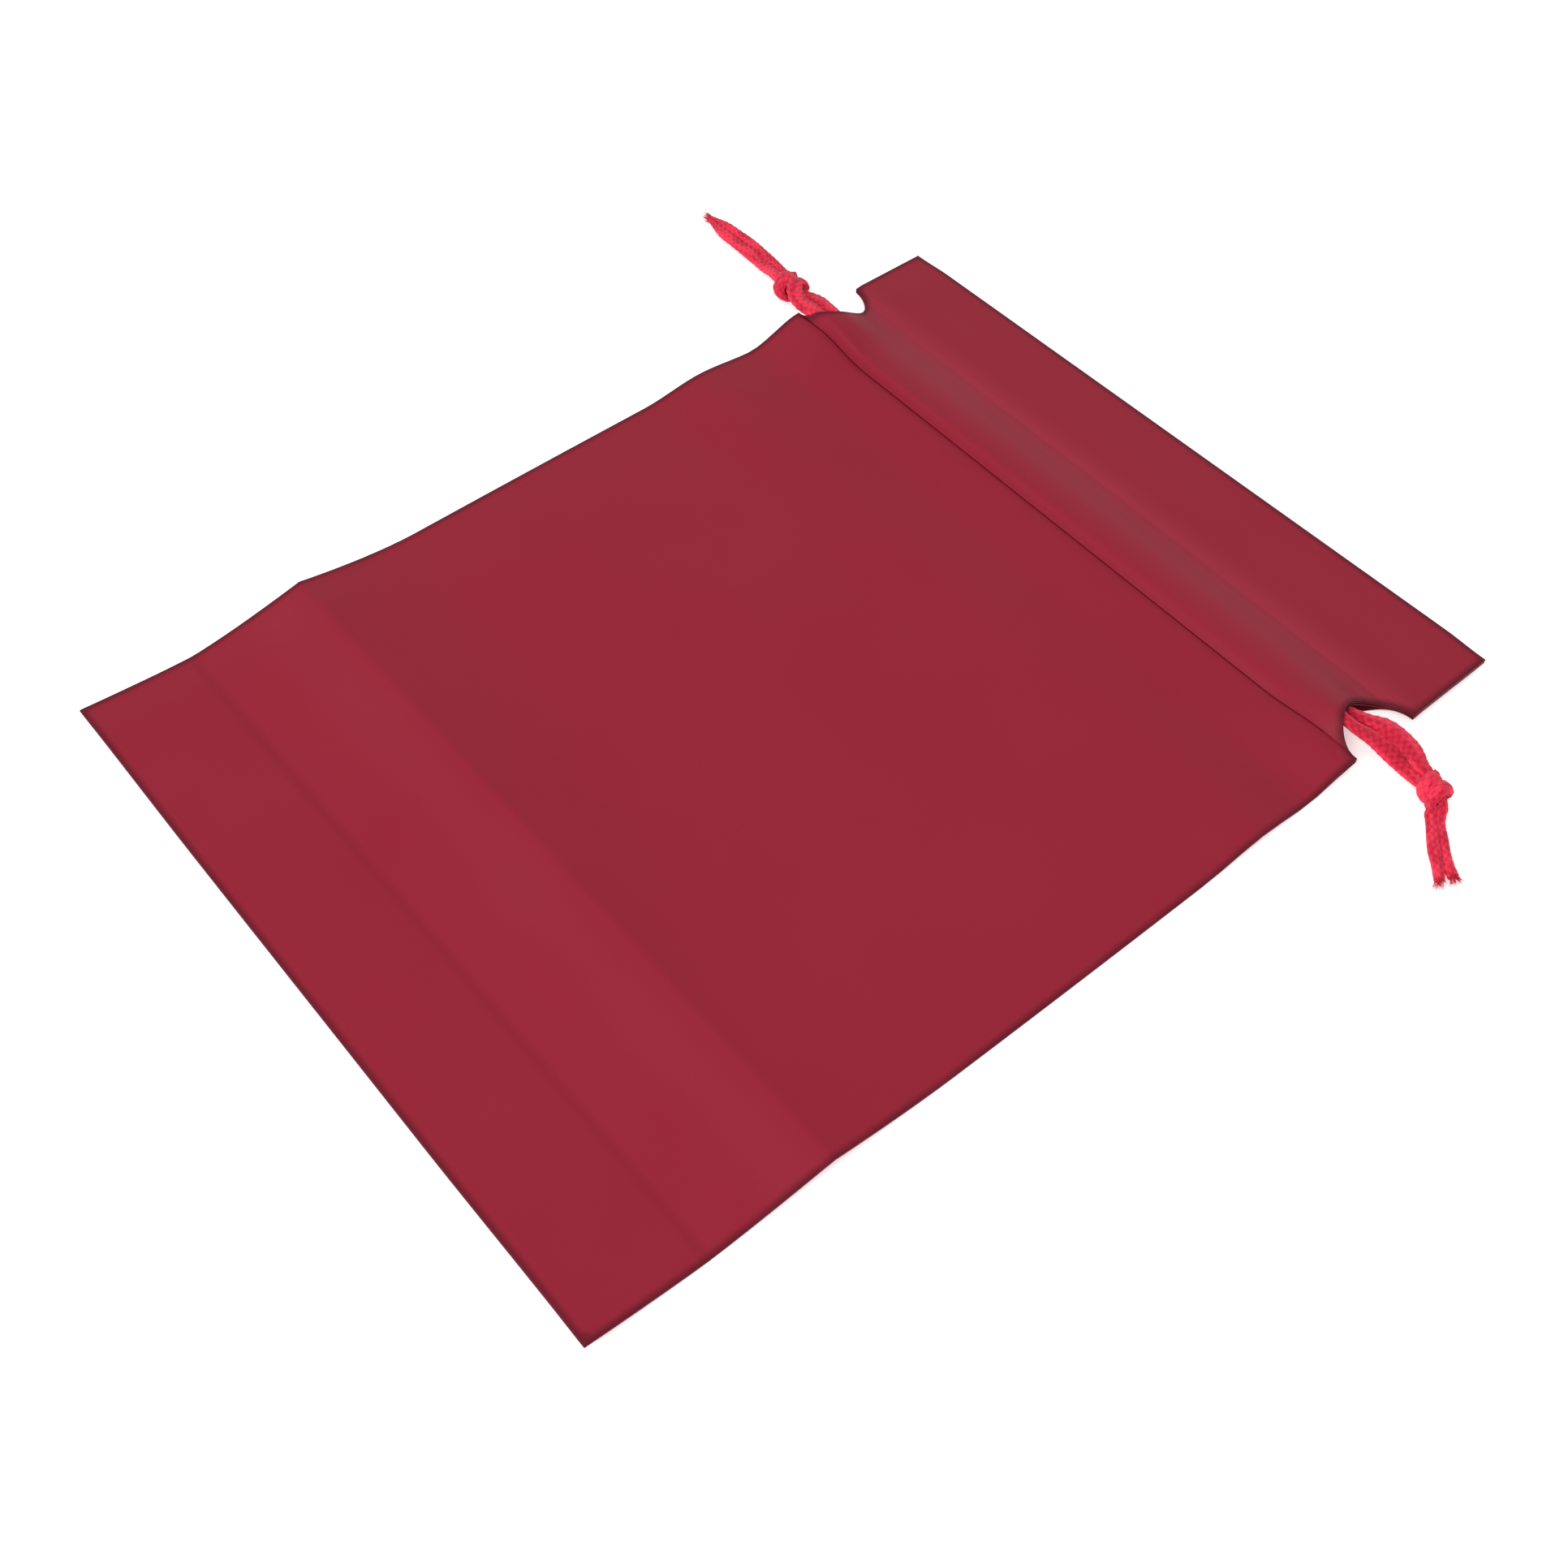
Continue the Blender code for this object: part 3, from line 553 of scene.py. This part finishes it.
def build_film(material):
    """The whole sheet as one thin folded mesh."""
    points, reach = sheet_grid()
    rows, columns = reach.shape
    film = add_object("film_sheet", points, grid_faces(rows, columns), material)
    store(film, "from_fold", reach)
    store(film, "rim", rim_distance(points, reach))
    thicken = film.modifiers.new("thickness", "SOLIDIFY")
    thicken.thickness = FILM
    thicken.offset = 0.0
    thicken.use_even_offset = False
    return film


def heading(points, index):
    """The route's direction at one of its points, at a speed of one unit of length."""
    before = points[max(index - 1, 0)]
    here = points[index]
    after = points[min(index + 1, len(points) - 1)]
    back = np.linalg.norm((here - before)[:3])
    ahead = np.linalg.norm((after - here)[:3])
    if back == 0 or ahead == 0:
        return (after - before) / (back + ahead)
    slope = (here - before) * (ahead / back) + (after - here) * (back / ahead)
    return slope / np.linalg.norm(slope[:3])


def trace(route):
    """Points along a route, in metres and about one ring step apart, with the cord's share of
    its thickness as their fourth value.
    """
    points = np.array(route)
    traced = []
    for index in range(len(points) - 1):
        start, end = points[index], points[index + 1]
        span = np.linalg.norm((end - start)[:3])
        count = max(round(span * MILLIMETRE / RING_STEP), 1)
        share = (np.arange(count) / count)[:, None]
        keep = 1 - share
        leave = heading(points, index) * span * ROUNDING
        arrive = heading(points, index + 1) * span * ROUNDING
        traced.append(start * (1 + 2 * share) * keep ** 2 + leave * share * keep ** 2
                      + end * (3 - 2 * share) * share ** 2 - arrive * keep * share ** 2)
    traced.append(points[-1:])
    line = np.concatenate(traced)
    line[:, :3] *= MILLIMETRE
    return line


def carried_frames(line):
    """The line's direction at each point and two at right angles, carried without twist."""
    ahead = np.gradient(line, axis=0)
    ahead /= np.linalg.norm(ahead, axis=1, keepdims=True)
    sides = np.empty_like(line)
    side = np.cross(ahead[0], UPWARD)
    for index, forward in enumerate(ahead):
        side = side - forward * (side @ forward)
        side /= np.linalg.norm(side)
        sides[index] = side
    return ahead, sides, np.cross(ahead, sides)


def braid_height(turn, distance):
    """Height of the braid from 0 in its furrows to 1 on its strands."""
    def strand(own, other, first):
        rounded = np.sqrt(np.clip(1 - (2 * (own - np.round(own))) ** 2, 0, 1))
        over = np.cos(np.pi * other) * np.where(np.round(own) % 2 == 0, first, -first)
        return rounded * (STRAND_HEIGHT + STRAND_WEAVE * over)

    climb = STRANDS * distance / BRAID_PITCH
    one_way, other_way = STRANDS * turn - climb, STRANDS * turn + climb
    return np.maximum(strand(one_way, other_way, 1.0), strand(other_way, one_way, -1.0))


def square_to(ahead, directions):
    """The unit part of each direction that is at right angles to the cord there."""
    part = directions - ahead * np.sum(ahead * directions, axis=1, keepdims=True)
    return part / np.maximum(np.linalg.norm(part, axis=1, keepdims=True), SHORTEST)


def flat_sides(line, ahead, knot):
    """The way each bit of a cord is pressed flat: downward, and in its knot onto the core."""
    middle, core = (np.array(value) for value in knot)
    outward = line - middle
    near = ease((KNOT_REACH - np.linalg.norm(outward, axis=1, keepdims=True)) / KNOT_BLEND)
    outward = square_to(ahead, outward - core * (outward @ core)[:, None])
    upward = square_to(ahead, np.tile(UPWARD, (len(line), 1)))
    opposed = np.sum(outward * upward, axis=1, keepdims=True) < 0
    return square_to(ahead, mix(upward, np.where(opposed, -outward, outward), near))


def streaks(distance, turn, seed):
    """Soft uneven streaks along a cord, from 0 to 1."""
    values = np.empty((len(distance), turn.shape[1]))
    for row, along in enumerate(distance[:, 0] / STREAK_LENGTH):
        for column, angle in enumerate(2 * np.pi * turn[0]):
            place = (along, STREAK_TURNS * math.cos(angle), STREAK_TURNS * math.sin(angle) + seed)
            values[row, column] = noise.fractal(place, *STREAK_NOISE)
    return ease(STREAK_MIDDLE + STREAK_CONTRAST * values)


def cord_rings(route, sections, knot):
    """Points of a braided cord, ring by ring, with its line and its share of the deep colour:
    painted shade in its furrows and underneath, and darker streaks.
    """
    traced = trace(route)
    line, fill = traced[:, :3], traced[:, 3:]
    ahead, sides, ups = carried_frames(line)
    distance = np.cumsum(np.linalg.norm(np.diff(line, axis=0, prepend=line[:1]), axis=1))[:, None]
    turn = (np.arange(RING_POINTS) / RING_POINTS)[None, :]
    height = braid_height(turn, distance)
    lumps = np.array([noise.noise((place / LUMP_SIZE, line[0, 1] / LUMP_SIZE, LUMP_SEED))
                      for place in distance[:, 0]])[:, None]
    smooth = CORD_DIAMETER / 2 * fill * (1 + LUMP_HEIGHT * lumps)
    radius = smooth * (1 - BRAID_DEPTH * (1 - height))
    angle = 2 * np.pi * turn[:, :, None]
    outward = np.cos(angle) * sides[:, None, :] + np.sin(angle) * ups[:, None, :]
    flat = flat_sides(line, ahead, knot)[:, None, :]
    through = np.sum(outward * flat, axis=2, keepdims=True) * flat
    stations = np.array(sections).T
    wide = np.interp(line[:, 0], stations[0] * MILLIMETRE, stations[1])[:, None, None]
    thick = np.interp(line[:, 0], stations[0] * MILLIMETRE, stations[2])[:, None, None]
    offset = radius[:, :, None] * (wide * (outward - through) + thick * through)
    # Painted shade in the furrows between strands and under the cord, and darker streaks along it
    shade_and_mottle = ease(FURROW_SHADE_TOP - height) * FURROW_SHADE_SHARE
    shade_and_mottle += STREAK_SHARE * streaks(distance, turn, line[0, 1])
    shade_and_mottle += UNDERSIDE_SHADE_SHARE * ease(-offset[:, :, 2] / CORD_DIAMETER + UNDERSIDE_SHADE_TOP)
    return line[:, None, :] + offset, line, ahead, shade_and_mottle


def tube_faces(rings, points, first):
    """Faces of a closed tube whose points are numbered ring by ring from first on."""
    faces = [(first + i * points + j, first + i * points + (j + 1) % points,
              first + (i + 1) * points + (j + 1) % points, first + (i + 1) * points + j)
             for i in range(rings - 1) for j in range(points)]
    last = first + (rings - 1) * points
    faces.append(tuple(reversed(range(first, first + points))))
    faces.append(tuple(range(last, last + points)))
    return faces


def loose_fibres(end, ahead, radius, draw):
    """Points of thin tubes that fan out of a cord's cut end, ring by ring."""
    side = np.cross(ahead, UPWARD)
    side /= np.linalg.norm(side)
    up = np.cross(side, ahead)
    fibres = []
    for _ in range(FIBRES):
        angle = draw.uniform(0, 2 * math.pi)
        outward = math.cos(angle) * side + math.sin(angle) * up
        start = radius * math.sqrt(draw.uniform(0, FIBRE_AREA))
        root = end + outward * start - ahead * FIBRE_ROOT
        length = draw.uniform(*FIBRE_LENGTH) + FIBRE_ROOT
        lean = outward * draw.uniform(0, FIBRE_SPREAD) + side * draw.normal(0, FIBRE_SPREAD / 3)
        for share in np.linspace(0, 1, FIBRE_RINGS):
            centre = root + length * (ahead * share + lean * share ** 2)
            centre[2] = max(centre[2], 2 * FIBRE_RADIUS)
            thick = FIBRE_RADIUS * (1 - FIBRE_TAPER * share)
            for corner in range(FIBRE_SIDES):
                turn = 2 * math.pi * corner / FIBRE_SIDES
                fibres.append(centre + thick * (math.cos(turn) * side + math.sin(turn) * up))
    return fibres


def build_cord(name, route, sections, knot, material):
    """One braided cord as a closed tube with frayed ends, and the line that it follows."""
    rings, line, ahead, shade_and_mottle = cord_rings(route, sections, knot)
    faces = tube_faces(len(line), RING_POINTS, 0)
    points = rings.reshape(-1, 3).tolist()
    draw = np.random.default_rng(len(line))
    ends = ((line[0], -ahead[0], route[0][3]), (line[-1], ahead[-1], route[-1][3]))
    for end, way, share in ends:
        fibres = loose_fibres(end, way, CORD_DIAMETER / 2 * share, draw)
        for fibre in range(FIBRES):
            first = len(points) + FIBRE_RINGS * FIBRE_SIDES * fibre
            faces += tube_faces(FIBRE_RINGS, FIBRE_SIDES, first)
        points += [point.tolist() for point in fibres]
    cord = add_object(name, np.array(points), faces, material)
    shares = np.full(len(points), FIBRE_DEPTH)
    shares[:shade_and_mottle.size] = shade_and_mottle.ravel()
    store(cord, "shade_and_mottle", shares)
    return cord, line


def new_material(name, roughness):
    """A new material with its node tree and its shader."""
    material = bpy.data.materials.new(name)
    material.use_nodes = True
    shader = material.node_tree.nodes["Principled BSDF"]
    shader.inputs["Roughness"].default_value = roughness
    return material, material.node_tree, shader


def attribute(tree, name):
    """One of the numbers that store() keeps with a mesh."""
    node = tree.nodes.new("ShaderNodeAttribute")
    node.attribute_name = name
    return node.outputs["Fac"]


def math_node(tree, operation, first, second=None):
    """The result of one operation on sockets or plain numbers."""
    node = tree.nodes.new("ShaderNodeMath")
    node.operation = operation
    for socket, value in zip(node.inputs, (first, second)):
        if isinstance(value, (int, float)):
            socket.default_value = value
        elif value is not None:
            tree.links.new(value, socket)
    return node.outputs[0]


def ramp_down(tree, value, start, end):
    """1 where the value is at start and 0 at end, smoothly between."""
    node = tree.nodes.new("ShaderNodeMapRange")
    node.interpolation_type = "SMOOTHSTEP"
    node.inputs["From Min"].default_value = start
    node.inputs["From Max"].default_value = end
    node.inputs["To Min"].default_value = 1.0
    node.inputs["To Max"].default_value = 0.0
    tree.links.new(value, node.inputs["Value"])
    return node.outputs["Result"]


def line_mask(tree, value, centre, half):
    """1 on a line across the sheet and 0 at half its width away."""
    away = math_node(tree, "ABSOLUTE", math_node(tree, "SUBTRACT", value, centre))
    return ramp_down(tree, away, 0.0, half)


def noise_node(tree, scale, detail, stretch=(1.0, 1.0, 1.0)):
    """Noise over the object's own coordinates, which stretch scales on each axis."""
    place = tree.nodes.new("ShaderNodeTexCoord")
    mapping = tree.nodes.new("ShaderNodeMapping")
    mapping.inputs["Scale"].default_value = stretch
    texture = tree.nodes.new("ShaderNodeTexNoise")
    texture.inputs["Scale"].default_value = scale
    texture.inputs["Detail"].default_value = detail
    tree.links.new(place.outputs["Object"], mapping.inputs["Vector"])
    tree.links.new(mapping.outputs["Vector"], texture.inputs["Vector"])
    return texture.outputs["Fac"]


def mix_colour(tree, share, first, second):
    """The colour at a share of the way from the first to the second."""
    node = tree.nodes.new("ShaderNodeMix")
    node.data_type = "RGBA"     # its colour sockets are inputs 6 and 7 and output 2
    tree.links.new(share, node.inputs["Factor"])
    for socket, value in ((node.inputs[6], first), (node.inputs[7], second)):
        if isinstance(value, tuple):
            socket.default_value = value
        else:
            tree.links.new(value, socket)
    return node.outputs[2]


def add_bump(tree, shader, height, distance, strength):
    """Roughens a surface by a height between 0 and 1 times the distance."""
    node = tree.nodes.new("ShaderNodeBump")
    node.inputs["Distance"].default_value = distance
    node.inputs["Strength"].default_value = strength
    tree.links.new(height, node.inputs["Height"])
    tree.links.new(node.outputs["Normal"], shader.inputs["Normal"])


def film_material():
    """Matte film: darker along its edges (their own tone and painted shade) and along the weld,
    painted shade along the crease, paler in soft clouds, in painted highlight bands and in painted
    sheen streaks.
    """
    material, tree, shader = new_material("wine_film", FILM_ROUGHNESS)
    shader.inputs["Specular IOR Level"].default_value = FILM_SPECULAR
    along = attribute(tree, "from_fold")
    weld = math_node(tree, "MULTIPLY", line_mask(tree, along, LOWER_WELD, WELD_WIDTH), WELD_TONE)
    # Painted shade along the valley's crease
    crease = math_node(tree, "MULTIPLY", line_mask(tree, along, VALLEY, CREASE_WIDTH), CREASE_SHADE_TONE)
    # Painted sheen: pale streaks beside the upper weld
    painted_sheen = line_mask(tree, along, UPPER_WELD + PAINTED_SHEEN_OFFSET, PAINTED_SHEEN_WIDTH)
    grain = noise_node(tree, 1.0, PAINTED_SHEEN_DETAIL, PAINTED_SHEEN_GRAIN)
    painted_sheen = math_node(tree, "MULTIPLY", painted_sheen, math_node(tree, "MULTIPLY", grain, PAINTED_SHEEN_TONE))
    cloud_and_highlights = noise_node(tree, CLOUD_SCALE, CLOUD_DETAIL)
    cloud_and_highlights = math_node(tree, "MULTIPLY", cloud_and_highlights, CLOUD_TONE)
    # Painted highlights in pale bands on the ridge, the channel and the frill
    for place, reach, tone in PAINTED_HIGHLIGHT_BANDS:
        band = math_node(tree, "MULTIPLY", line_mask(tree, along, place, reach), tone)
        cloud_and_highlights = math_node(tree, "ADD", cloud_and_highlights, band)
    colour = mix_colour(tree, cloud_and_highlights, WINE, WINE_HAZE_AND_HIGHLIGHT)
    # Darker along the lower weld line, with painted shade along the crease
    colour = mix_colour(tree, math_node(tree, "ADD", weld, crease), colour, WINE_WELD_AND_CREASE_SHADE)
    colour = mix_colour(tree, painted_sheen, colour, WINE_HAZE_AND_HIGHLIGHT)
    # Darker rim: the cut edges' own tone, with painted shade along the edges and the folds
    rim = ramp_down(tree, attribute(tree, "rim"), 0.0, RIM_WIDTH)
    rim = math_node(tree, "MULTIPLY", rim, RIM_EDGE_AND_SHADE_TONE)
    colour = mix_colour(tree, rim, colour, WINE_EDGE_AND_SHADE)
    tree.links.new(colour, shader.inputs["Base Color"])
    fine_grain = noise_node(tree, FILM_GRAIN_SCALE, FILM_GRAIN_DETAIL)
    add_bump(tree, shader, fine_grain, FILM_GRAIN_DEPTH, FILM_GRAIN_STRENGTH)
    return material


def cord_material():
    """Soft braided yarn: deep red where the cord's own attribute paints shade into its furrows and
    underside and lays darker streaks, and finely uneven.
    """
    material, tree, shader = new_material("crimson_braid", CORD_ROUGHNESS)
    shader.inputs["Specular IOR Level"].default_value = CORD_SPECULAR
    shader.inputs["Sheen Weight"].default_value = CORD_SHEEN
    shader.inputs["Sheen Roughness"].default_value = SHEEN_ROUGHNESS
    shader.inputs["Sheen Tint"].default_value = SHEEN_TINT
    yarn = noise_node(tree, YARN_SCALE, YARN_DETAIL)
    yarn = math_node(tree, "SUBTRACT", yarn, YARN_MIDDLE)
    yarn = math_node(tree, "MULTIPLY", yarn, YARN_CONTRAST)
    # The attribute's painted shade and streaks, with the yarn's fine unevenness
    shade_and_mottle = math_node(tree, "ADD", attribute(tree, "shade_and_mottle"), yarn)
    tree.links.new(mix_colour(tree, shade_and_mottle, CRIMSON, CRIMSON_SHADE_AND_MOTTLE), shader.inputs["Base Color"])
    add_bump(tree, shader, noise_node(tree, FUZZ_SCALE, FUZZ_DETAIL), FUZZ_DEPTH, FUZZ_STRENGTH)
    return material


def floor_material():
    """White and matte, with a glow of its own."""
    material, _, shader = new_material("pale_floor", FLOOR_ROUGHNESS)
    shader.inputs["Base Color"].default_value = FLOOR_WHITE
    shader.inputs["Specular IOR Level"].default_value = 0.0
    shader.inputs["Emission Color"].default_value = FLOOR_WHITE
    shader.inputs["Emission Strength"].default_value = FLOOR_GLOW
    return material


def build_floor():
    """The table that the pouch lies on, which is no part of it."""
    corners = [(x * FLOOR_REACH, y * FLOOR_REACH, -FLOOR_DROP)
               for x, y in ((-1, -1), (1, -1), (1, 1), (-1, 1))]
    floor = add_object("floor", np.array(corners), [(0, 1, 2, 3)], floor_material())


def add_camera():
    """The camera from which the photograph was taken."""
    data = bpy.data.cameras.new("camera")
    data.lens = LENS
    data.sensor_width = SENSOR
    data.clip_start = CAMERA_NEAR
    camera = bpy.data.objects.new("camera", data)
    view = Vector(CAMERA_AIM) - Vector(CAMERA_PLACE)
    level = view.to_track_quat("-Z", "Y").to_matrix().to_4x4()
    turn = Matrix.Rotation(CAMERA_ROLL, 4, "Z")
    camera.matrix_world = Matrix.Translation(CAMERA_PLACE) @ level @ turn
    bpy.context.collection.objects.link(camera)
    bpy.context.scene.camera = camera


def add_softbox(name, place, size, power):
    """A square area light that faces the middle of the pouch."""
    data = bpy.data.lights.new(name, "AREA")
    data.shape = "SQUARE"
    data.size = size
    data.energy = power
    light = bpy.data.objects.new(name, data)
    light.location = place
    light.rotation_euler = (-Vector(place)).to_track_quat("-Z", "Y").to_euler()
    bpy.context.collection.objects.link(light)


def add_lights():
    """One large softbox, and even white light from all round."""
    add_softbox("key_softbox", KEY_PLACE, KEY_SIZE, KEY_POWER)
    world = bpy.data.worlds.new("studio")
    world.use_nodes = True
    background = world.node_tree.nodes["Background"]
    background.inputs["Color"].default_value = SKY_WHITE
    background.inputs["Strength"].default_value = SKY_STRENGTH
    bpy.context.scene.world = world
    bpy.context.scene.view_settings.view_transform = "Standard"


def declare_cord(name, node, route, sections, knot, material):
    """Draws one cord, attaches it to the root and hides the model's drawstring part."""
    cord, line = build_cord(name, route, sections, knot, material)
    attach(cord, "root")
    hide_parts(node)


add_camera()
braid = cord_material()
declare_cord("front_cord", "front_drawstring", FRONT_ROUTE, FRONT_SECTIONS, FRONT_KNOT, braid)
declare_cord("rear_cord", "rear_drawstring", REAR_ROUTE, REAR_SECTIONS, REAR_KNOT, braid)
film = build_film(film_material())
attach(film, "root")
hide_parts("pouch")
build_floor()
add_lights()
